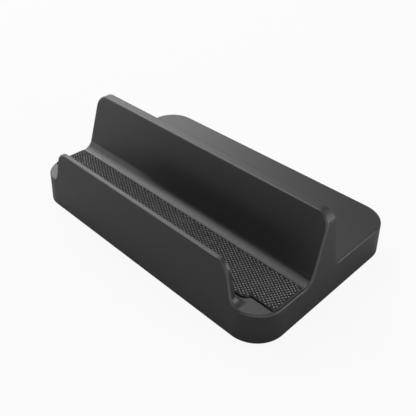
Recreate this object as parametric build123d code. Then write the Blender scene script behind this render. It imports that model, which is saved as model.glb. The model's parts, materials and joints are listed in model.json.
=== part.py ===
from build123d import *
import math
import os

# Cradle docking station. X runs along the trough, -Y is the lip side, +Y the deck side, +Z is up.
# The origin is the middle of the footprint on the surface that the feet stand on.

# Body
rim_length = 130.0
rim_width = 81.4
rim_corner = 11.8
side_draft = 3.1
foot_proud = 0.8
floor_rise = 13.0
deck_rise = 13.3
skin = 2.0
edge_round = 0.8

# Back rest: the front face leans back, the rear face leans forward, the ends carry the body's draft
trough_width = 24.3
rest_height = 25.6
rest_front_lean = 16.3
rest_rear_lean = 6.8
rest_top_thickness = 4.3
rest_corner = 6.0
rest_rear_fillet = 3.0
rest_cove_radius = 5.0

# Front lip
lip_height = 15.55
lip_thickness = 1.8
lip_end_inset = 13.0
lip_end_lean = 15.4
lip_corner = 5.6
lip_end_fillet = 3.8
lip_cove_radius = 2.5

# Mat in the trough
mat_thickness = 0.9
mat_film = 0.15
mat_recess = 0.5
mat_rim = 0.95
mat_gap = 0.06
mat_front_gap = 0.3
mat_setback = 5.0
mat_tab_reach = 1.8
mat_tab_corner = 3.2

# Base plate, feet and ballast
base_thickness = 1.6
base_gap = 0.15
foot_diameter = 10.0
foot_recess = 0.8
foot_gap = 0.1
foot_inset_x = 10.0
foot_inset_y = 9.5
ballast_end_gap = 4.0
ballast_setback = 3.7
ballast_width = 20.0
ballast_thickness = 5.0
ballast_hole_inset = 8.0
ballast_boss_diameter = 5.0
ballast_boss_drop = 0.3
ballast_head_diameter = 7.0

# Base screws: pan heads in wells of the base plate, threads in bosses of the housing
boss_diameter = 6.4
boss_front_inset_x = 11.0
boss_front_inset_y = 18.7
boss_rear_inset_x = 6.6
boss_rear_inset_y = 28.7
well_rise = 2.0
well_wall = 1.4
web_thickness = 1.2
base_head_diameter = 4.6
base_head_height = 1.7
base_shank_diameter = 2.6
screw_end_gap = 1.1
head_gap = 0.2
shank_gap = 0.05

# Board
board_end_gap = 0.5
board_depth = 32.0
board_thickness = 1.6
board_corner = 3.0
board_setback = 0.5
head_room = 0.8
standoff_diameter = 5.0
board_screw_diameter = 2.0
board_head_diameter = 3.8
board_head_height = 1.2
board_screw_inset = 3.5
standoff_floor = 0.7

# Receptacles on the board's rear edge, mouths just behind the rear skin
mouth_gap = 0.25
port_gap = 0.2
shell_wall = 0.3
tongue_setback = 0.8
insulator_depth = 4.0
port_margin = 1.7
usb_a_count = 3
usb_a_width = 13.1
usb_a_height = 5.7
usb_a_depth = 14.0
usb_a_tongue_width = 11.1
usb_a_tongue_thickness = 1.84
usb_a_tongue_drop = 0.7
usb_a_contact_width = 1.0
usb_a_contact_thickness = 0.2
usb_a_contact_pitch = 2.3
usb_a_contact_length = 7.0
hdmi_width = 15.0
hdmi_height = 5.6
hdmi_depth = 12.0
hdmi_chamfer_x = 2.3
hdmi_chamfer_z = 2.0
hdmi_tongue_width = 10.0
hdmi_tongue_thickness = 1.4
usb_c_width = 8.94
usb_c_height = 3.2
usb_c_depth = 8.0
usb_c_tongue_width = 6.7
usb_c_tongue_thickness = 0.7

# Parts on the board, each placed at a share of the board's length from its middle
hub_chip_side = 9.0
hub_chip_share = 0.10
video_chip_side = 7.0
video_chip_share = -0.21
power_chip_side = 5.0
power_chip_share = -0.12
chip_thickness = 1.0
pad_thickness = 0.5
sink_length = 24.0
sink_width = 14.0
sink_base = 1.0
fin_count = 7
fin_thickness = 0.8
crystal_length = 3.2
crystal_width = 2.5
crystal_height = 0.8
crystal_share = -0.06
inductor_side = 5.0
inductor_height = 2.8
inductor_corner = 0.8
inductor_share = 0.34
inductor_pitch = 7.0
inductor_count = 3
can_diameter = 5.0
can_height = 5.4
can_share = -0.34
can_pitch = 6.5
can_count = 2
chip_capacitor_length = 1.6
chip_capacitor_width = 0.8
chip_capacitor_pitch = 3.0
chip_capacitor_count = 6
chip_capacitor_inset = 2.0

# Heights and places that follow from the sizes above
underside = foot_proud
floor_top = underside + floor_rise
deck_top = underside + deck_rise
rest_top = floor_top + rest_height
lip_top = floor_top + lip_height
draft_slope = math.tan(math.radians(side_draft))
bottom_spread = floor_rise * draft_slope
trough_ceiling = floor_top - skin
deck_ceiling = deck_top - skin
plate_top = underside + base_thickness
board_top = deck_ceiling - head_room - usb_a_height
board_bottom = board_top - board_thickness
lip_rear_y = -rim_width / 2 + lip_height * draft_slope + lip_thickness
lip_half_length = rim_length / 2 - lip_end_inset
rest_foot_y = lip_rear_y + trough_width
rest_top_front_y = rest_foot_y + rest_height * math.tan(math.radians(rest_front_lean))
rest_top_rear_y = rest_top_front_y + rest_top_thickness
rest_rear_foot_y = rest_top_rear_y + rest_height * math.tan(math.radians(rest_rear_lean))
skirt_inner_y = rim_width / 2 - skin
mouth_y = skirt_inner_y - mouth_gap
board_rear_y = mouth_y - board_setback
board_front_y = board_rear_y - board_depth
parts_row_y = (board_front_y + mouth_y - usb_a_depth) / 2
well_diameter = base_head_diameter + 2 * head_gap
well_outer_diameter = well_diameter + 2 * well_wall
well_top = plate_top + well_rise
base_screw_seat = well_top - web_thickness
base_screw_tip = trough_ceiling - screw_end_gap
boss_front_x = rim_length / 2 - boss_front_inset_x
boss_front_y = boss_front_inset_y - rim_width / 2
boss_rear_x = rim_length / 2 - boss_rear_inset_x
boss_rear_y = rim_width / 2 - boss_rear_inset_y
board_length = 2 * (boss_rear_x - well_outer_diameter / 2 - board_end_gap)
ballast_length = 2 * (boss_front_x - well_outer_diameter / 2 - ballast_end_gap)
ballast_y = ballast_setback - skirt_inner_y + ballast_width / 2
sink_height = usb_a_height - chip_thickness - pad_thickness
hub_chip_x = hub_chip_share * board_length
video_chip_x = video_chip_share * board_length
power_chip_x = power_chip_share * board_length
crystal_x = crystal_share * board_length
inductor_x = inductor_share * board_length - (inductor_count - 1) / 2 * inductor_pitch
can_x = can_share * board_length - (can_count - 1) / 2 * can_pitch
beyond = rim_length

# The receptacles stand in a row across the flat of the rear face with equal gaps between them:
# host socket, HDMI, the USB-A sockets, power inlet
port_widths = [usb_c_width, hdmi_width] + usb_a_count * [usb_a_width] + [usb_c_width]
port_row = rim_length - 2 * rim_corner - 2 * port_margin
port_space = (port_row - sum(port_widths)) / (len(port_widths) - 1)
port_xs = []
for i, width in enumerate(port_widths):
    port_xs.append(-port_row / 2 + sum(port_widths[:i]) + i * port_space + width / 2)
host_x, hdmi_x, *usb_a_xs, power_x = port_xs


def box_between(low, high):
    """A box from one corner to the opposite one."""
    size = [high[i] - low[i] for i in range(3)]
    middle = [(high[i] + low[i]) / 2 for i in range(3)]
    return Pos(*middle) * Box(*size)


def disc(x, y, low, high, diameter):
    """An upright cylinder between two heights."""
    return Pos(x, y, (low + high) / 2) * Cylinder(diameter / 2, high - low)


def tapered_plan(inset, low, high):
    """The drafted, round-cornered body outline between two heights, moved in by an inset."""
    spread = (floor_top - low) * draft_slope - inset
    outline = RectangleRounded(rim_length + 2 * spread, rim_width + 2 * spread, rim_corner + spread)
    return extrude(Pos(0, 0, low) * outline, high - low, taper=side_draft)


def along_x(points, half_length):
    """A prism along X over a YZ outline."""
    face = make_face(Plane.YZ * Polyline(*points, close=True))
    return extrude(face, half_length, both=True)


def rounded_outline(points, rounds):
    """A flat outline with a radius on some of its corners: {corner index: radius}."""
    face = make_face(Polyline(*points, close=True))
    for index, radius in rounds.items():
        corner = Vector(*points[index])
        nearest = face.vertices().sort_by_distance(corner)[0]
        face = fillet(nearest, radius)
    return face


def in_yz(face, half_length):
    """Extrude a flat outline, drawn as (Y, Z), along X both ways."""
    return extrude(Plane.YZ * face, half_length, both=True)


def in_xz(face, half_depth):
    """Extrude a flat outline, drawn as (X, Z), along Y both ways."""
    return extrude(Plane.XZ * face, half_depth, both=True)


def lip_block():
    """The front lip: a thin wall with a cove behind it and S-curved ends."""
    root = floor_top - skin / 2
    rear = lip_rear_y + 2 * lip_cove_radius
    section = rounded_outline(
        [(-beyond, root), (rear, root), (rear, floor_top), (lip_rear_y, floor_top), (lip_rear_y, lip_top),
         (-beyond, lip_top)],
        {3: lip_cove_radius})
    top_half = lip_half_length - lip_height * math.tan(math.radians(lip_end_lean))
    far = lip_half_length + 1.5 * lip_end_fillet
    end_view = rounded_outline(
        [(-far, root), (far, root), (far, floor_top), (lip_half_length, floor_top), (top_half, lip_top),
         (-top_half, lip_top), (-lip_half_length, floor_top), (-far, floor_top)],
        {3: lip_end_fillet, 4: lip_corner, 5: lip_corner, 6: lip_end_fillet})
    return in_yz(section, beyond) & in_xz(end_view, beyond)


def rest_section():
    """The back rest across the trough, with the cove in front and the fillet on the deck behind."""
    root = floor_top - skin / 2
    front = rest_foot_y - 1.5 * rest_cove_radius
    rear = rest_rear_foot_y + 2 * rest_rear_fillet
    return rounded_outline(
        [(front, root), (rear, root), (rear, deck_top), (rest_rear_foot_y, deck_top),
         (rest_top_rear_y, rest_top), (rest_top_front_y, rest_top), (rest_foot_y, floor_top),
         (front, floor_top)],
        {3: rest_rear_fillet, 6: rest_cove_radius})


def rest_end_view(inset):
    """The back rest seen from the front, moved in by an inset."""
    top_half = rim_length / 2 - inset - rest_height * draft_slope
    low_half = rim_length / 2 - inset + bottom_spread
    return rounded_outline(
        [(-low_half, underside), (low_half, underside), (top_half, rest_top), (-top_half, rest_top)],
        {2: rest_corner, 3: rest_corner})


def on_body_face(point):
    """Whether a point lies on the drafted outer face that runs round the body."""
    spread = (floor_top - point.Z) * draft_slope
    corner = rim_corner + spread
    dx = abs(point.X) - (rim_length / 2 + spread - corner)
    dy = abs(point.Y) - (rim_width / 2 + spread - corner)
    reach = math.hypot(dx, dy) if min(dx, dy) > 0 else max(dx, dy)
    return abs(reach - corner) < 0.02


def outer_edges(shape):
    """The edges round the rim, the deck, the lip's ends and the back rest's ends."""
    edges = []
    for edge in shape.edges():
        middle = edge.position_at(0.5)
        above = edge.bounding_box().min.Z > floor_top - 0.01
        seam = abs(edge.tangent_at(0.5).Y) > 0.99 and middle.Z > deck_top + 0.01
        if above and not seam and on_body_face(middle):
            edges.append(edge)
    return edges


def outer_form():
    """The housing's outside as one block, with its outer edges rounded."""
    body = tapered_plan(0, underside, rest_top)
    middle_y = (rest_foot_y + rest_rear_foot_y) / 2
    low = box_between((-beyond, -beyond, underside), (beyond, middle_y, floor_top))
    high = box_between((-beyond, middle_y, underside), (beyond, beyond, deck_top))
    rest = in_yz(rest_section(), beyond) & in_xz(rest_end_view(0), beyond)
    block = body & (low + high + lip_block() + rest)
    return fillet(outer_edges(block), edge_round)


def cavity():
    """The hollow under the deck and the trough, and the one inside the back rest."""
    inside = tapered_plan(skin, underside, rest_top)
    middle_y = (rest_foot_y + rest_rear_foot_y) / 2
    low = box_between((-beyond, -beyond, underside), (beyond, middle_y, trough_ceiling))
    high = box_between((-beyond, middle_y, underside), (beyond, beyond, deck_ceiling))
    front_shift = skin / math.cos(math.radians(rest_front_lean))
    rear_shift = skin / math.cos(math.radians(rest_rear_lean))
    closing = math.tan(math.radians(rest_front_lean)) + math.tan(math.radians(rest_rear_lean))
    base_width = rest_rear_foot_y - rear_shift - rest_foot_y - front_shift
    rise = (base_width - skin / 2) / closing
    hollow = along_x(
        [(rest_foot_y + front_shift, trough_ceiling),
         (rest_rear_foot_y - rear_shift, trough_ceiling),
         (rest_rear_foot_y - rear_shift, floor_top),
         (rest_rear_foot_y - rear_shift - rise * math.tan(math.radians(rest_rear_lean)), floor_top + rise),
         (rest_foot_y + front_shift + rise * math.tan(math.radians(rest_front_lean)), floor_top + rise),
         (rest_foot_y + front_shift, floor_top)],
        beyond) & in_xz(rest_end_view(skin), beyond)
    return inside & (low + high + hollow)


def boss_places():
    """Where the four base screws are."""
    places = []
    for side in (-1, 1):
        places.append((side * boss_front_x, boss_front_y, trough_ceiling))
        places.append((side * boss_rear_x, boss_rear_y, deck_ceiling))
    return places


def mouth_outlines(gap):
    """The outline of every receptacle on the rear face, grown by a gap."""
    usb_a = [usb_a_outline(x, gap) for x in usb_a_xs]
    return usb_a + [hdmi_outline(gap), usb_c_outline(host_x, gap), usb_c_outline(power_x, gap)]


def usb_a_outline(x, gap):
    """A plain rectangle."""
    middle = Pos(x, board_top + usb_a_height / 2)
    return middle * Rectangle(usb_a_width + 2 * gap, usb_a_height + 2 * gap)


def hdmi_outline(gap):
    """A rectangle with its two lower corners cut off."""
    half = hdmi_width / 2 + gap
    low = board_top - gap
    high = board_top + hdmi_height + gap
    points = [(-half + hdmi_chamfer_x, low), (half - hdmi_chamfer_x, low), (half, low + hdmi_chamfer_z),
              (half, high), (-half, high), (-half, low + hdmi_chamfer_z)]
    return Pos(hdmi_x, 0) * make_face(Polyline(*points, close=True))


def usb_c_outline(x, gap):
    """A round-ended slot."""
    width = usb_c_width + 2 * gap
    height = usb_c_height + 2 * gap
    return Pos(x, board_top + usb_c_height / 2) * RectangleRounded(width, height, 0.49 * height)


def from_mouth(face, start, length):
    """Extrude an outline, drawn as (X, Z), inwards from a depth behind the mouths."""
    return extrude(Plane.XZ.offset(start - mouth_y) * face, length)


def mat_outline(inset, front_gap):
    """The flat floor in front of the rest's cove, with a tab behind the lip, cut by the rim's outline."""
    rim = RectangleRounded(rim_length - 2 * inset, rim_width - 2 * inset, rim_corner - inset)
    cove_reach = rest_cove_radius * math.tan(math.radians((90 - rest_front_lean) / 2))
    rear = rest_foot_y - cove_reach - inset + mat_rim
    front = lip_rear_y + mat_setback + front_gap
    strip = Pos(0, (front + rear) / 2) * Rectangle(2 * beyond, rear - front)
    tab_front = lip_rear_y + lip_cove_radius + front_gap
    tab_half = lip_half_length + mat_tab_reach - front_gap
    tab = Pos(0, (tab_front + rear) / 2) * RectangleRounded(
        2 * tab_half, rear - tab_front, mat_tab_corner - front_gap)
    return rim & (strip + tab)


def upper_housing():
    """Deck, back rest, trough floor, lip and skirt in one moulding, with the screw bosses."""
    shape = outer_form() - cavity()
    recess = extrude(Pos(0, 0, floor_top - mat_recess) * mat_outline(mat_rim, 0), mat_recess + 1)
    below_lip = box_between((-beyond, -beyond, underside), (beyond, rest_foot_y, floor_top + mat_recess))
    shape -= recess & below_lip
    for outline in mouth_outlines(port_gap):
        shape -= from_mouth(outline, -beyond, beyond)
    for x, y, ceiling in boss_places():
        boss = disc(x, y, well_top, ceiling + skin / 2, boss_diameter)
        hole = disc(x, y, well_top, base_screw_tip + head_gap, base_shank_diameter + 2 * shank_gap)
        shape = shape + boss - hole
    return shape


def foot_places():
    """Where the four feet are."""
    half_x = rim_length / 2 - foot_inset_x
    half_y = rim_width / 2 - foot_inset_y
    return [(sx * half_x, sy * half_y) for sx in (-1, 1) for sy in (-1, 1)]


def board_screw_places():
    """Two at the board's front corners and two behind the USB-C sockets."""
    corner_x = board_length / 2 - board_screw_inset
    front_y = board_front_y + board_screw_inset
    rear_y = mouth_y - usb_c_depth - board_screw_inset + board_setback
    return [(-corner_x, front_y), (corner_x, front_y), (host_x, rear_y), (power_x, rear_y)]


def ballast_places():
    hole_x = ballast_length / 2 - ballast_hole_inset
    return [(-hole_x, ballast_y), (hole_x, ballast_y)]


def base_plate():
    """The closing plate, with foot recesses, screw wells, board standoffs and ballast bosses."""
    shape = tapered_plan(skin + base_gap, underside, plate_top)
    pilot = board_screw_diameter + 2 * shank_gap
    for x, y in foot_places():
        shape -= disc(x, y, underside, underside + foot_recess, foot_diameter + 2 * foot_gap)
    for x, y, _ in boss_places():
        shape += disc(x, y, plate_top, well_top, well_outer_diameter)
        shape -= disc(x, y, underside, base_screw_seat, well_diameter)
        shape -= disc(x, y, base_screw_seat, well_top, base_shank_diameter + 2 * head_gap)
    for x, y in board_screw_places():
        shape += disc(x, y, plate_top, board_bottom, standoff_diameter)
        shape -= disc(x, y, underside + standoff_floor, board_bottom, pilot)
    for x, y in ballast_places():
        boss_top = plate_top + ballast_thickness - ballast_boss_drop
        shape += disc(x, y, plate_top, boss_top, ballast_boss_diameter)
        shape -= disc(x, y, underside + standoff_floor, boss_top, pilot)
    return shape


def trough_mat():
    low = floor_top - mat_recess + mat_film
    return extrude(Pos(0, 0, low) * mat_outline(mat_rim + mat_gap, mat_front_gap), mat_thickness)


def mat_adhesive():
    outline = mat_outline(mat_rim + 3 * mat_gap, mat_front_gap + 2 * mat_gap)
    return extrude(Pos(0, 0, floor_top - mat_recess) * outline, mat_film)


def rubber_feet():
    shape = Part()
    for x, y in foot_places():
        foot = disc(x, y, 0, underside + foot_recess, foot_diameter)
        shape += chamfer(foot.edges().group_by(Axis.Z)[0], foot_proud / 3)
    return shape


def pan_screw(x, y, seat, up, head, shank):
    """A screw whose head sits on a seat. up is +1 when the shank points up; sizes are (diameter, length)."""
    low, high = sorted((seat, seat + up * shank[1]))
    head_low, head_high = sorted((seat, seat - up * head[1]))
    outer_end = Axis.Z if up < 0 else -Axis.Z
    cap = disc(x, y, head_low, head_high, head[0])
    cap = fillet(cap.edges().sort_by(outer_end)[-1], head[1] / 3)
    socket_depth = head[1] / 2
    socket_low, socket_high = sorted((seat - up * head[1], seat - up * (head[1] - socket_depth)))
    for size in ((head[0] / 2, head[0] / 7), (head[0] / 7, head[0] / 2)):
        cap -= box_between((x - size[0] / 2, y - size[1] / 2, socket_low),
                           (x + size[0] / 2, y + size[1] / 2, socket_high))
    return cap + disc(x, y, low, high, shank[0])


def base_screws():
    shape = Part()
    for x, y, _ in boss_places():
        shape += pan_screw(x, y, base_screw_seat, 1, (base_head_diameter, base_head_height),
                           (base_shank_diameter, base_screw_tip - base_screw_seat))
    return shape


def board_screws():
    shape = Part()
    length = board_top - underside - standoff_floor - head_gap
    for x, y in board_screw_places():
        shape += pan_screw(x, y, board_top, -1, (board_head_diameter, board_head_height),
                           (board_screw_diameter, length))
    return shape


def ballast_plate():
    """A steel bar on the base plate below the trough."""
    middle_z = plate_top + ballast_thickness / 2
    shape = Pos(0, ballast_y, middle_z) * Box(ballast_length, ballast_width, ballast_thickness)
    shape = fillet(shape.edges().filter_by(Axis.Z), 2.0)
    for x, y in ballast_places():
        shape -= disc(x, y, plate_top, plate_top + ballast_thickness, ballast_boss_diameter + 2 * head_gap)
    return shape


def ballast_screws():
    shape = Part()
    seat = plate_top + ballast_thickness
    for x, y in ballast_places():
        shape += pan_screw(x, y, seat, -1, (ballast_head_diameter, board_head_height),
                           (board_screw_diameter, seat - underside - standoff_floor - head_gap))
    return shape


def main_board():
    """The circuit board, with holes for its four screws."""
    middle_y = (board_rear_y + board_front_y) / 2
    outline = Pos(0, middle_y, board_bottom) * RectangleRounded(board_length, board_depth, board_corner)
    shape = extrude(outline, board_thickness)
    for x, y in board_screw_places():
        shape -= disc(x, y, board_bottom, board_top, board_screw_diameter + 2 * head_gap)
    return shape


def shell(outer, inner, depth):
    """A sheet metal can, open at the mouth and closed at the back."""
    return from_mouth(outer, 0, depth) - from_mouth(inner, 0, depth - shell_wall)


def insulator(inner, tongue, depth):
    """The plastic block at the back of a shell, with the tongue that carries the contacts."""
    block_start = depth - shell_wall - insulator_depth
    block = from_mouth(inner, block_start, insulator_depth)
    return block + from_mouth(tongue, tongue_setback, block_start - tongue_setback)


def usb_a_shells():
    shape = Part()
    for x in usb_a_xs:
        shape += shell(usb_a_outline(x, 0), usb_a_outline(x, -shell_wall), usb_a_depth)
    return shape


def usb_a_tongue_top():
    return board_top + usb_a_height - shell_wall - usb_a_tongue_drop


def usb_a_insulators():
    shape = Part()
    tongue_z = usb_a_tongue_top() - usb_a_tongue_thickness / 2
    for x in usb_a_xs:
        tongue = Pos(x, tongue_z) * Rectangle(usb_a_tongue_width, usb_a_tongue_thickness)
        shape += insulator(usb_a_outline(x, -shell_wall), tongue, usb_a_depth)
    return shape


def usb_a_contacts():
    """Four strips under each tongue."""
    shape = Part()
    top = usb_a_tongue_top() - usb_a_tongue_thickness
    start = tongue_setback + 0.8
    for x in usb_a_xs:
        for i in range(4):
            strip_x = x + (i - 1.5) * usb_a_contact_pitch
            strip = Pos(strip_x, top - usb_a_contact_thickness / 2) * Rectangle(
                usb_a_contact_width, usb_a_contact_thickness)
            shape += from_mouth(strip, start, usb_a_contact_length)
    return shape


def hdmi_shell():
    return shell(hdmi_outline(0), hdmi_outline(-shell_wall), hdmi_depth)


def hdmi_insulator():
    middle_z = board_top + hdmi_height / 2
    tongue = Pos(hdmi_x, middle_z) * Rectangle(hdmi_tongue_width, hdmi_tongue_thickness)
    return insulator(hdmi_outline(-shell_wall), tongue, hdmi_depth)


def usb_c_shell(x):
    return shell(usb_c_outline(x, 0), usb_c_outline(x, -shell_wall), usb_c_depth)


def usb_c_insulator(x):
    middle_z = board_top + usb_c_height / 2
    tongue = Pos(x, middle_z) * Rectangle(usb_c_tongue_width, usb_c_tongue_thickness)
    return insulator(usb_c_outline(x, -shell_wall), tongue, usb_c_depth)


def on_board(x, y, length, width, height, lift=0.0):
    """A block that stands on the board, or on what lies lift above it."""
    return Pos(x, y, board_top + lift + height / 2) * Box(length, width, height)


def heat_sink():
    """A finned block on the pad over the hub chip."""
    lift = chip_thickness + pad_thickness
    shape = on_board(hub_chip_x, parts_row_y, sink_length, sink_width, sink_base, lift)
    pitch = (sink_length - fin_thickness) / (fin_count - 1)
    for i in range(fin_count):
        x = hub_chip_x + (i - (fin_count - 1) / 2) * pitch
        shape += on_board(x, parts_row_y, fin_thickness, sink_width, sink_height, lift)
    return shape


def power_inductors():
    shape = Part()
    for i in range(inductor_count):
        x = inductor_x + i * inductor_pitch
        block = on_board(x, parts_row_y, inductor_side, inductor_side, inductor_height)
        shape += chamfer(block.edges().filter_by(Axis.Z), inductor_corner)
    return shape


def polymer_capacitors():
    shape = Part()
    for i in range(can_count):
        can = disc(can_x + i * can_pitch, parts_row_y, board_top, board_top + can_height, can_diameter)
        shape += fillet(can.edges().sort_by(Axis.Z)[-1], 0.4)
    return shape


def chip_capacitors():
    """Two rows of small ceramic capacitors, beside the hub chip and beside the video chip."""
    shape = Part()
    y = board_front_y + chip_capacitor_inset
    for x in (hub_chip_x, video_chip_x):
        for i in range(chip_capacitor_count):
            place = x + (i - (chip_capacitor_count - 1) / 2) * chip_capacitor_pitch
            shape += on_board(place, y, chip_capacitor_width, chip_capacitor_length, chip_capacitor_width)
    return shape


nodes = {
    "upper_housing": upper_housing(),
    "trough_mat": trough_mat(),
    "mat_adhesive": mat_adhesive(),
    "base_plate": base_plate(),
    "rubber_feet": rubber_feet(),
    "base_screws": base_screws(),
    "ballast_plate": ballast_plate(),
    "ballast_screws": ballast_screws(),
    "main_board": main_board(),
    "board_screws": board_screws(),
    "usb_a_shells": usb_a_shells(),
    "usb_a_insulators": usb_a_insulators(),
    "usb_a_contacts": usb_a_contacts(),
    "hdmi_shell": hdmi_shell(),
    "hdmi_insulator": hdmi_insulator(),
    "power_inlet_shell": usb_c_shell(power_x),
    "power_inlet_insulator": usb_c_insulator(power_x),
    "host_socket_shell": usb_c_shell(host_x),
    "host_socket_insulator": usb_c_insulator(host_x),
    "hub_chip": on_board(hub_chip_x, parts_row_y, hub_chip_side, hub_chip_side, chip_thickness),
    "video_chip": on_board(video_chip_x, parts_row_y, video_chip_side, video_chip_side, chip_thickness),
    "power_chip": on_board(power_chip_x, parts_row_y, power_chip_side, power_chip_side, chip_thickness),
    "thermal_pad": on_board(hub_chip_x, parts_row_y, hub_chip_side, hub_chip_side, pad_thickness,
                            chip_thickness),
    "heat_sink": heat_sink(),
    "crystal": on_board(crystal_x, parts_row_y, crystal_length, crystal_width, crystal_height),
    "power_inductors": power_inductors(),
    "polymer_capacitors": polymer_capacitors(),
    "chip_capacitors": chip_capacitors(),
}
for name, shape in nodes.items():
    export_step(shape, f"parts/{name}.step")
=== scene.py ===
import json
import math
import bpy
import numpy as np
from mathutils import Matrix, Vector


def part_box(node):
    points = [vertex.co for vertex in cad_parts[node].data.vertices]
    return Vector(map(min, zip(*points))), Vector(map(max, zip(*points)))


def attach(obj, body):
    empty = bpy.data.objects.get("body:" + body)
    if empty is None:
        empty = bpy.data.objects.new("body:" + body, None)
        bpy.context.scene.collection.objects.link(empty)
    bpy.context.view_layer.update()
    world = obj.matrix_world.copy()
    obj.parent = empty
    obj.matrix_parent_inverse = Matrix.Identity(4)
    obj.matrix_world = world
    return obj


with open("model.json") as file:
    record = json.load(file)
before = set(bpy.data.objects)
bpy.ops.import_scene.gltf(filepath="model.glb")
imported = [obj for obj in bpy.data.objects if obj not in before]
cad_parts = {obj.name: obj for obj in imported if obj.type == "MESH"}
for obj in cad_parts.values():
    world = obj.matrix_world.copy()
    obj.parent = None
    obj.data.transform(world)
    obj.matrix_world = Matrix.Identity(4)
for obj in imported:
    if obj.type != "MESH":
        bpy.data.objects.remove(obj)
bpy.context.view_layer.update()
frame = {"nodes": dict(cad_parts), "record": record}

nodes = frame["nodes"]
mm = 0.001
print("frame loaded,", len(nodes), "nodes")


def linearColour(hexText):
    # sRGB hex to the linear values that the shader wants
    parts = [int(hexText[i:i + 2], 16) / 255 for i in (1, 3, 5)]
    return [p / 12.92 if p <= 0.04045 else ((p + 0.055) / 1.055) ** 2.4 for p in parts] + [1.0]


def newMaterial(name):
    # a material with only its output and a principled shader
    material = bpy.data.materials.new(name)
    material.use_nodes = True
    tree = material.node_tree
    tree.nodes.clear()
    output = tree.nodes.new("ShaderNodeOutputMaterial")
    shader = tree.nodes.new("ShaderNodeBsdfPrincipled")
    tree.links.new(shader.outputs["BSDF"], output.inputs["Surface"])
    return material, tree, shader


def addNode(tree, kind, settings=None, links=None, values=None):
    # one node with its properties, its incoming links {input: output socket} and its socket values
    node = tree.nodes.new(kind)
    for key, value in (settings or {}).items():
        setattr(node, key, value)
    for key, value in (values or {}).items():
        node.inputs[key].default_value = value
    for key, socket in (links or {}).items():
        tree.links.new(socket, node.inputs[key])
    return node


def makeMesh(name, points, faces, smooth=True):
    # a mesh object at the origin, from an array of points in metres and a list of faces
    mesh = bpy.data.meshes.new(name)
    mesh.from_pydata(points.tolist(), [], faces)
    mesh.update()
    mesh.polygons.foreach_set("use_smooth", np.full(len(mesh.polygons), smooth))
    piece = bpy.data.objects.new(name, mesh)
    bpy.context.scene.collection.objects.link(piece)
    return piece


# parts of a moulding that its normal tells apart, as limits (part of the normal, value where the share is
# nothing, value where it is full): "along" is the size of X, "diagonal" that times Y, "front" Y and "up" Z
regions = {
    # rounds that lead from a long face or the top to either end
    "endRounds": [("along", 0.08, 0.25), ("up", 0.35, 0.55), ("up", 0.985, 0.93)],
    # the upper part of the cove below the back rest
    "coveTop": [("front", -0.3, -0.5), ("up", 0.3, 0.38), ("up", 0.72, 0.6)],
    # rounds between an end and a face to the front, leaning up more than the drafted wall does
    "frontCorners": [("diagonal", -0.08, -0.3), ("up", 0.07, 0.14)],
    # long rounds that face up and forwards
    "frontRounds": [("front", -0.1, -0.25), ("up", 0.66, 0.76)],
    # the two cut ends of a strip that lies along the dock
    "stripEnds": [("along", 0.6, 0.9)],
}
mouldedIor = 1.5
mouldedDrift = 0.03   # how far the roughness drifts from its mean, over the patches
metalDrift = 0.06
grainNoise = {"Detail": 2.0, "Roughness": 0.55}
cloudNoise = {"Detail": 3.0}


def regionShare(tree, mostOf):
    # share of a region = the most that the look gives it * a rise from 0 to 1 for each of its limits;
    # where regions meet, the larger share holds
    facing = addNode(tree, "ShaderNodeNewGeometry")
    axes = addNode(tree, "ShaderNodeSeparateXYZ", {}, {"Vector": facing.outputs["Normal"]})
    along = addNode(tree, "ShaderNodeMath", {"operation": "ABSOLUTE"}, {0: axes.outputs["X"]})
    diagonal = addNode(tree, "ShaderNodeMath", {"operation": "MULTIPLY"},
                       {0: along.outputs[0], 1: axes.outputs["Y"]})
    normal = {"along": along.outputs[0], "diagonal": diagonal.outputs[0],
              "front": axes.outputs["Y"], "up": axes.outputs["Z"]}
    largest = None
    for region, most in mostOf.items():
        share = None
        for part, nothingAt, fullAt in regions[region]:
            links = {"Value": normal[part]}
            if share is not None:
                links["To Max"] = share
            rise = addNode(tree, "ShaderNodeMapRange", {}, links,
                           {"From Min": nothingAt, "From Max": fullAt, "To Max": most})
            share = rise.outputs["Result"]
        if largest is not None:
            larger = addNode(tree, "ShaderNodeMath", {"operation": "MAXIMUM"}, {0: largest, 1: share})
            share = larger.outputs[0]
        largest = share
    return largest


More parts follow.
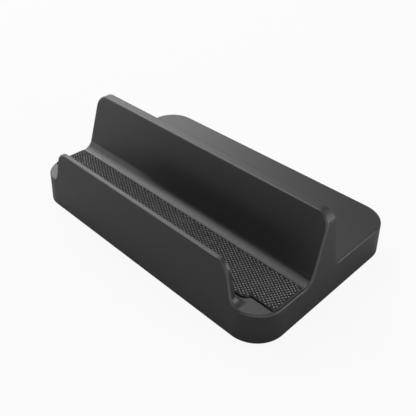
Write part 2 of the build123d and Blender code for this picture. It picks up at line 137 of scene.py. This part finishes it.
def mouldedMaterial(look):
    # plastic, rubber or ceramic from a mould: tone and gloss drift over patches, and a fine grain breaks up
    # the gloss. A pattern's scale is one over its size, because object coordinates are in metres. A mix
    # node's colours are its sockets 6 and 7, and its numbers are 2 and 3
    material, tree, shader = newMaterial(look["name"])
    coord = addNode(tree, "ShaderNodeTexCoord")
    grain = addNode(tree, "ShaderNodeTexNoise", {}, {"Vector": coord.outputs["Object"]},
                    {"Scale": 1 / (look["grain"] * mm), **grainNoise})
    patches = addNode(tree, "ShaderNodeTexNoise", {}, {"Vector": coord.outputs["Object"]},
                      {"Scale": 1 / (look["patch"] * mm), **cloudNoise})
    tint = addNode(tree, "ShaderNodeMix", {"data_type": "RGBA"}, {"Factor": patches.outputs["Fac"]},
                   {6: linearColour(look["dark"]), 7: linearColour(look["light"])})
    drift = addNode(tree, "ShaderNodeMapRange", {}, {"Value": patches.outputs["Fac"]},
                    {"To Min": look["roughness"] - mouldedDrift,
                     "To Max": look["roughness"] + mouldedDrift})
    colour, roughness = tint.outputs[2], drift.outputs["Result"]
    # painted light: a paler tone mixed in on the look's regions stands in for the lamps' light on those
    # rounds and ends
    if "paintedLight" in look:
        pale = addNode(tree, "ShaderNodeMix", {"data_type": "RGBA"},
                       {"Factor": regionShare(tree, look["paintedLight"]), 6: colour},
                       {7: linearColour(look["paintedLightTone"])})
        colour = pale.outputs[2]
    if "smoother" in look:
        smooth = addNode(tree, "ShaderNodeMix", {"data_type": "FLOAT"},
                         {"Factor": regionShare(tree, look["smoother"]), 2: roughness},
                         {3: look["smoothRoughness"]})
        roughness = smooth.outputs[0]
    bump = addNode(tree, "ShaderNodeBump", {}, {"Height": grain.outputs["Fac"]},
                   {"Strength": look["strength"], "Distance": look["depth"] * mm})
    tree.links.new(colour, shader.inputs["Base Color"])
    tree.links.new(roughness, shader.inputs["Roughness"])
    tree.links.new(bump.outputs["Normal"], shader.inputs["Normal"])
    shader.inputs["IOR"].default_value = mouldedIor
    return material


def metalMaterial(look):
    # drawn, plated or cut metal: a cloudy haze makes its reflection slightly uneven
    material, tree, shader = newMaterial(look["name"])
    coord = addNode(tree, "ShaderNodeTexCoord")
    haze = addNode(tree, "ShaderNodeTexNoise", {}, {"Vector": coord.outputs["Object"]},
                   {"Scale": 1 / (look["grain"] * mm), **cloudNoise})
    drift = addNode(tree, "ShaderNodeMapRange", {}, {"Value": haze.outputs["Fac"]},
                    {"To Min": look["roughness"] - metalDrift,
                     "To Max": look["roughness"] + metalDrift})
    tree.links.new(drift.outputs["Result"], shader.inputs["Roughness"])
    shader.inputs["Base Color"].default_value = linearColour(look["colour"])
    shader.inputs["Metallic"].default_value = 1.0
    return material


def boardMaterial(look):
    # glass-epoxy laminate under solder mask, with copper pours showing as paler patches
    material, tree, shader = newMaterial(look["name"])
    coord = addNode(tree, "ShaderNodeTexCoord")
    pours = addNode(tree, "ShaderNodeTexVoronoi", {"distance": "CHEBYCHEV"},
                    {"Vector": coord.outputs["Object"]}, {"Scale": 1 / (look["pour"] * mm)})
    ramp = addNode(tree, "ShaderNodeValToRGB", {}, {"Fac": pours.outputs["Distance"]})
    pale, deep = ramp.color_ramp.elements
    pale.color = linearColour(look["light"])
    deep.color = linearColour(look["dark"])
    deep.position = look["pourEdge"]
    tree.links.new(ramp.outputs["Color"], shader.inputs["Base Color"])
    shader.inputs["Roughness"].default_value = look["roughness"]
    return material


# per moulded material: tones in sRGB hex, mean roughness, sizes of grain and patches in mm, and the bump's
# strength and depth in mm. The grains are drawn coarser than real ones, which are too fine to show. Some
# materials have regions of a paler tone, which is painted light, or a smoother face, each with its largest
# share
mouldedLooks = {
    # spark texture: near-black with a satin sheen that spreads the lamps wide. Corners and rounds towards
    # the front, the cove's band among them, have a painted highlight: a paler tone in place of the lamps'
    # gleam on them. The rounds at the ends and the cove's top are smoother
    "housing": {"name": "absSparkTextured", "dark": "#252525", "light": "#282828", "roughness": 0.47,
                "grain": 0.25, "patch": 18.0, "strength": 0.25, "depth": 0.02,
                "paintedLightTone": "#5e5e5e", "paintedLight": {"frontCorners": 1.0, "frontRounds": 0.2},
                "smoothRoughness": 0.28, "smoother": {"endRounds": 1.0, "coveTop": 0.65}},
    # coarser texture of a hidden face: flatter and a little duller than the housing
    "base": {"name": "absBlackMoulded", "dark": "#202021", "light": "#252526", "roughness": 0.6,
             "grain": 0.3, "patch": 15.0, "strength": 0.3, "depth": 0.02},
    # glass-filled nylon: black with a soft gleam inside the sockets
    "port_plastic": {"name": "nylonInsulatorMoulded", "dark": "#161617", "light": "#1b1b1c",
                     "roughness": 0.45, "grain": 0.2, "patch": 4.0, "strength": 0.1, "depth": 0.01},
    # moulding compound: charcoal, slightly rough, as on any chip
    "chip": {"name": "epoxyPackageMoulded", "dark": "#1c1c1d", "light": "#222223", "roughness": 0.55,
             "grain": 0.1, "patch": 3.0, "strength": 0.3, "depth": 0.01},
    # pressed iron powder: dull mid grey with a sandy grain
    "ferrite": {"name": "ferritePressed", "dark": "#3a3a3c", "light": "#46464a", "roughness": 0.7,
                "grain": 0.1, "patch": 2.0, "strength": 0.4, "depth": 0.02},
    # fired dielectric: tan and smooth
    "ceramic": {"name": "ceramicFired", "dark": "#a08867", "light": "#b39a78", "roughness": 0.5,
                "grain": 0.1, "patch": 1.0, "strength": 0.1, "depth": 0.01},
    # transfer adhesive: milky and cloudy
    "film": {"name": "acrylicAdhesiveFilm", "dark": "#cbc6b4", "light": "#d6d2c2", "roughness": 0.4,
             "grain": 0.5, "patch": 6.0, "strength": 0.1, "depth": 0.01},
    # soft feet: dusty dark grey, without any gleam
    "feet": {"name": "siliconeRubberMoulded", "dark": "#2b2b2c", "light": "#343435", "roughness": 0.8,
             "grain": 0.15, "patch": 3.0, "strength": 0.4, "depth": 0.03},
    # heat-conducting pad: matt blue grey
    "pad": {"name": "siliconePadSoft", "dark": "#8d99a8", "light": "#9aa6b4", "roughness": 0.8,
            "grain": 0.2, "patch": 3.0, "strength": 0.3, "depth": 0.02},
    # the mat between its pips: black and matt, made darker still to paint the shade in the gaps between the
    # pips and on its front wall; its cut ends are paler, a painted light for the lamp shining on them
    "mat": {"name": "rubberMatMoulded", "dark": "#070707", "light": "#0c0c0c", "roughness": 0.85,
            "grain": 0.2, "patch": 6.0, "strength": 0.3, "depth": 0.02,
            "paintedLightTone": "#5a5a5a", "paintedLight": {"stripEnds": 1.0}},
}
# per metal: reflected colour, mean roughness, size of the haze in mm
metalLooks = {
    # black passivated zinc: dark with a blurred gleam on the recess's edges
    "screw_steel": {"name": "steelBlackZincPlated", "colour": "#4a4a4c", "roughness": 0.4, "grain": 0.4},
    # bright zinc over rolled plate: cool grey, cloudy
    "ballast": {"name": "steelZincPlated", "colour": "#9a9c9e", "roughness": 0.45, "grain": 1.2},
    # nickel over stamped sheet: warm pale rims round the sockets
    "port_shell": {"name": "steelNickelPlated", "colour": "#c9c8c4", "roughness": 0.28, "grain": 0.8},
    # gold flash: small yellow glints
    "contact": {"name": "copperAlloyGoldPlated", "colour": "#e0b865", "roughness": 0.25, "grain": 0.5},
    # drawn fins: pale and faintly streaked
    "sink": {"name": "aluminiumExtruded", "colour": "#b4b6b8", "roughness": 0.4, "grain": 0.6},
    # deep-drawn cans: bright and smooth
    "can": {"name": "aluminiumDrawn", "colour": "#d0d1d3", "roughness": 0.3, "grain": 0.7},
}
# green laminate whose copper shows through the solder mask as paler fields
boardLook = {"name": "glassEpoxySolderMasked", "light": "#2a6a44", "dark": "#174a2c", "roughness": 0.35,
             "pour": 4.0, "pourEdge": 0.45}
materials = {slot: mouldedMaterial(look) for slot, look in mouldedLooks.items()}
materials.update({slot: metalMaterial(look) for slot, look in metalLooks.items()})
materials["board"] = boardMaterial(boardLook)

for entry in frame["record"]["subparts"]:
    mesh = nodes[entry["node"]].data
    mesh.materials.clear()
    mesh.materials.append(materials[entry["material_slot"]])
print("materials assigned:", len(materials))

matLook = {
    "pitch": 1.09,         # mm between neighbouring pips, and all other lengths in mm too
    "turn": -30.3,         # degrees from the trough's direction to a row of pips
    "pipRadius": 0.37,
    "pipHeight": 0.32,
    "sides": 8,
    "rings": (2, 3, 7),    # from the lowest up: half a turn over this is a ring's angle from the crown
    "sink": 0.05,          # how far the lowest ring goes into the mat
    "margin": 0.08,        # bare edge of the mat
    "endRadius": 10.79,    # the mat's front corners, inside the rim
    "bodyCorner": 12.504,  # the body's corner where it meets the ground
    "tabHalf": 53.5,       # half the length of the tab behind the lip
    "tabDepth": 2.5,       # how far the tab reaches in front of the mat's ends
    "tabCorner": 2.9,
}
# the pips: shinier than the mat between them, and greyer, where the grey is a painted sheen standing in for
# the lamps' glints on their domes
pipLook = {"name": "rubberPipsPaintedSheen", "dark": "#686868", "light": "#767676", "roughness": 0.29,
           "grain": 0.5, "patch": 9.0, "strength": 0.05, "depth": 0.01}


def pipGrid(look, low, high, corner):
    # centres on a square lattice turned by an angle, kept inside the mat: a rectangle with two cut corners,
    # plus the tab, a narrower rectangle in front of it with two rounded corners
    step = look["pitch"] * mm
    reach = int((high.x - low.x) / step) + 2
    i, j = np.meshgrid(np.arange(-reach, reach + 1), np.arange(-reach, reach + 1))
    angle = math.radians(look["turn"])
    middle = (low + high) / 2
    x = middle.x + step * (i * math.cos(angle) - j * math.sin(angle))
    y = middle.y + step * (i * math.sin(angle) + j * math.cos(angle))
    room = (look["margin"] + look["pipRadius"]) * mm
    front = low.y + look["tabDepth"] * mm
    bend = look["tabCorner"] * mm
    main = (np.abs(x) < high.x - room) & (y > front + room) & (y < high.y - room)
    pastX = np.maximum(np.abs(x) - corner["x"], 0)
    pastY = np.maximum(corner["y"] - y, 0)
    main &= np.hypot(pastX, pastY) < corner["radius"] - room
    pastX = np.maximum(np.abs(x) - look["tabHalf"] * mm + bend, 0)
    pastY = np.maximum(low.y + bend - y, 0)
    tab = (y < front + bend) & (np.hypot(pastX, pastY) < bend - room)
    inside = main | tab
    return np.stack([x[inside], y[inside]], axis=1)


def pipField(look, centres, baseZ):
    # a pip is a low dome: the ring at angle t from the crown has radius r * sin(t) and height h * cos(t).
    # Quads join the rings, triangles meet at the crown, and one face closes the sunk lowest ring
    sides, rings = look["sides"], len(look["rings"])
    around = np.linspace(0, 2 * math.pi, sides, endpoint=False)
    ring = np.stack([np.cos(around), np.sin(around)], axis=1)
    down = math.pi / np.array(look["rings"])
    radii = look["pipRadius"] * mm * np.sin(down)
    rises = look["pipHeight"] * mm * np.cos(down)
    rises[0] = -look["sink"] * mm
    flat = np.concatenate([(radii[:, None, None] * ring).reshape(-1, 2), np.zeros((1, 2))])
    heights = np.append(np.repeat(rises, sides), look["pipHeight"] * mm)
    points = np.zeros((len(centres), len(flat), 3))
    points[:, :, :2] = centres[:, None, :] + flat
    points[:, :, 2] = baseZ + heights
    a = np.arange(sides)
    b = (a + 1) % sides
    wall = np.stack([a, b, b + sides, a + sides], axis=1)
    walls = np.concatenate([wall + k * sides for k in range(rings - 1)])
    crown = np.stack([a, b, np.full(sides, sides)], axis=1) + (rings - 1) * sides
    offsets = np.arange(len(centres))[:, None] * len(flat)
    allWalls = (walls + offsets[:, :, None]).reshape(-1, 4)
    allCrowns = (crown + offsets[:, :, None]).reshape(-1, 3)
    undersides = a[::-1] + offsets
    return points.reshape(-1, 3), allWalls.tolist() + allCrowns.tolist() + undersides.tolist()


matLow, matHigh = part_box("trough_mat")
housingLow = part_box("upper_housing")[0]
corner = {"x": matHigh.x - matLook["endRadius"] * mm, "y": housingLow.y + matLook["bodyCorner"] * mm,
          "radius": matLook["endRadius"] * mm}
centres = pipGrid(matLook, matLow, matHigh, corner)
pipPoints, pipFaces = pipField(matLook, centres, matHigh.z)
pips = makeMesh("matPips", pipPoints, pipFaces)
pips.data.materials.append(mouldedMaterial(pipLook))
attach(pips, "root")
print("pips:", len(centres), "triangles:", sum(len(p.vertices) - 2 for p in pips.data.polygons))


def rayKinds(tree):
    # whether a ray comes from the camera, and whether it comes by way of a reflection or glass
    path = addNode(tree, "ShaderNodeLightPath")
    reflected = addNode(tree, "ShaderNodeMath", {"operation": "ADD"},
                        {0: path.outputs["Is Glossy Ray"], 1: path.outputs["Is Transmission Ray"]})
    return path.outputs["Is Camera Ray"], reflected.outputs[0]


# size in metres; how far the floor is lifted to white where it is seen, and where it is reflected
floorLook = {"size": 6.0, "colour": "#acacac", "roughness": 0.9, "seenLift": 0.92, "reflectedLift": 0.05}


def floorMaterial(look):
    # painted studio floor: pale and matt. Share of white = the sum of its lifts, each times its kind of ray
    material, tree, shader = newMaterial("studioFloorPainted")
    shader.inputs["Base Color"].default_value = linearColour(look["colour"])
    shader.inputs["Roughness"].default_value = look["roughness"]
    seen, reflected = rayKinds(tree)
    seenPart = addNode(tree, "ShaderNodeMath", {"operation": "MULTIPLY"}, {0: seen}, {1: look["seenLift"]})
    part = addNode(tree, "ShaderNodeMath", {"operation": "MULTIPLY_ADD", "use_clamp": True},
                   {0: reflected, 2: seenPart.outputs[0]}, {1: look["reflectedLift"]})
    glow = addNode(tree, "ShaderNodeEmission", {}, {}, {"Strength": 1.0})
    mix = addNode(tree, "ShaderNodeMixShader", {},
                  {0: part.outputs[0], 1: shader.outputs["BSDF"], 2: glow.outputs["Emission"]})
    tree.links.new(mix.outputs[0], tree.nodes["Material Output"].inputs["Surface"])
    return material


def makeFloor(look):
    # a flat square round the origin at the height of the feet
    half = look["size"] / 2
    points = np.array([[-half, -half, 0], [half, -half, 0], [half, half, 0], [-half, half, 0]])
    floor = makeMesh("studioFloor", points, [[0, 1, 2, 3]], smooth=False)
    floor.data.materials.append(floorMaterial(look))


lampLooks = {
    # each lamp's turn from +X round the object and its rise above the floor in degrees, power in watts
    "leftRearSoftbox": {"turn": 150, "rise": 41, "power": 4.0},
    "leftSoftbox": {"turn": 180, "rise": 42, "power": 4.9},
    "leftFrontSoftbox": {"turn": 210, "rise": 42, "power": 1.9},
    "rightRearSoftbox": {"turn": 58, "rise": 40, "power": 1.1},
    "rearTopSoftbox": {"turn": 128, "rise": 63, "power": 0.9},
    "leftTopSoftbox": {"turn": 175, "rise": 64, "power": 1.3},
    "rightSoftbox": {"turn": 30, "rise": 21, "power": 3.4},
    "rearLowStrip": {"turn": 150, "rise": 8, "power": 1.4},
    "frontLowStrip": {"turn": 210, "rise": 8, "power": 1.8},
    "topSoftbox": {"turn": 315, "rise": 86, "power": 1.0},
    "cameraSideSoftbox": {"turn": 315, "rise": 45, "power": 0.6},
}
# in metres: the side of each square lamp, its distance from the aim and the height of the aim
lampRig = {"side": 0.6, "reach": 1.0, "aimZ": 0.015}


def addLamp(name, look):
    # a square soft light that faces the object
    turn, rise = math.radians(look["turn"]), math.radians(look["rise"])
    away = Vector((math.cos(turn) * math.cos(rise), math.sin(turn) * math.cos(rise), math.sin(rise)))
    light = bpy.data.lights.new(name, "AREA")
    light.shape = "SQUARE"
    light.size = lampRig["side"]
    light.energy = look["power"]
    lamp = bpy.data.objects.new(name, light)
    lamp.location = Vector((0, 0, lampRig["aimZ"])) + lampRig["reach"] * away
    lamp.rotation_euler = (-away).to_track_quat("-Z", "Y").to_euler()
    bpy.context.scene.collection.objects.link(lamp)


# the strength falls from 1 to dim between the heights paleTo and dimFrom, where 1 is straight up, and
# reflections see at least the lift
worldLook = {"dim": 0.03, "paleTo": 0.1, "dimFrom": 0.22, "reflectedLift": 0.03}


def makeWorld(look):
    # a dim room with a pale band at the horizon, which stands for the far backdrop, and white where it is
    # seen: strength = the larger of the band's fade and the lift for the kind of ray
    world = bpy.data.worlds.new("studioWorld")
    bpy.context.scene.world = world
    world.use_nodes = True
    tree = world.node_tree
    tree.nodes.clear()
    coord = addNode(tree, "ShaderNodeTexCoord")
    height = addNode(tree, "ShaderNodeSeparateXYZ", {}, {"Vector": coord.outputs["Generated"]})
    fade = addNode(tree, "ShaderNodeMapRange", {"interpolation_type": "SMOOTHSTEP"},
                   {"Value": height.outputs["Z"]},
                   {"From Min": look["paleTo"], "From Max": look["dimFrom"],
                    "To Min": 1.0, "To Max": look["dim"]})
    seen, reflected = rayKinds(tree)
    lift = addNode(tree, "ShaderNodeMath", {"operation": "MULTIPLY_ADD"},
                   {0: reflected, 2: seen}, {1: look["reflectedLift"]})
    level = addNode(tree, "ShaderNodeMath", {"operation": "MAXIMUM"},
                    {0: fade.outputs["Result"], 1: lift.outputs[0]})
    sky = addNode(tree, "ShaderNodeBackground", {}, {"Strength": level.outputs[0]}, {"Color": (1, 1, 1, 1)})
    addNode(tree, "ShaderNodeOutputWorld", {}, {"Surface": sky.outputs[0]})


# angles in degrees, distances in metres, lens and sensor in millimetres
cameraLook = {"azimuth": 44.122, "elevation": 36.947, "roll": 1.011, "distance": 0.248019, "right": 0.00075,
              "up": 0.003575, "aimZ": 0.0008, "lens": 48.853, "sensor": 36.0, "near": 0.01}


def makeCamera(look):
    # turned round the object by its azimuth from the front, raised by its elevation and rolled on its axis,
    # then moved a little to the right and up within its own view
    a, e, r = (math.radians(look[key]) for key in ("azimuth", "elevation", "roll"))
    back = Vector((math.sin(a) * math.cos(e), -math.cos(a) * math.cos(e), math.sin(e)))
    side = Vector((math.cos(a), math.sin(a), 0))
    above = back.cross(side)
    right = math.cos(r) * side + math.sin(r) * above
    up = math.cos(r) * above - math.sin(r) * side
    place = Vector((0, 0, look["aimZ"])) + look["right"] * right + look["up"] * up + look["distance"] * back
    turn = Matrix((right, up, back)).transposed().to_4x4()
    camera = bpy.data.objects.new("camera", bpy.data.cameras.new("camera"))
    camera.matrix_world = Matrix.Translation(place) @ turn
    camera.data.lens = look["lens"]
    camera.data.sensor_width = look["sensor"]
    camera.data.clip_start = look["near"]
    bpy.context.scene.collection.objects.link(camera)
    bpy.context.scene.camera = camera


makeFloor(floorLook)
makeWorld(worldLook)
for name, look in lampLooks.items():
    addLamp(name, look)
makeCamera(cameraLook)
bpy.context.scene.view_settings.view_transform = "Standard"
print("stage ready")
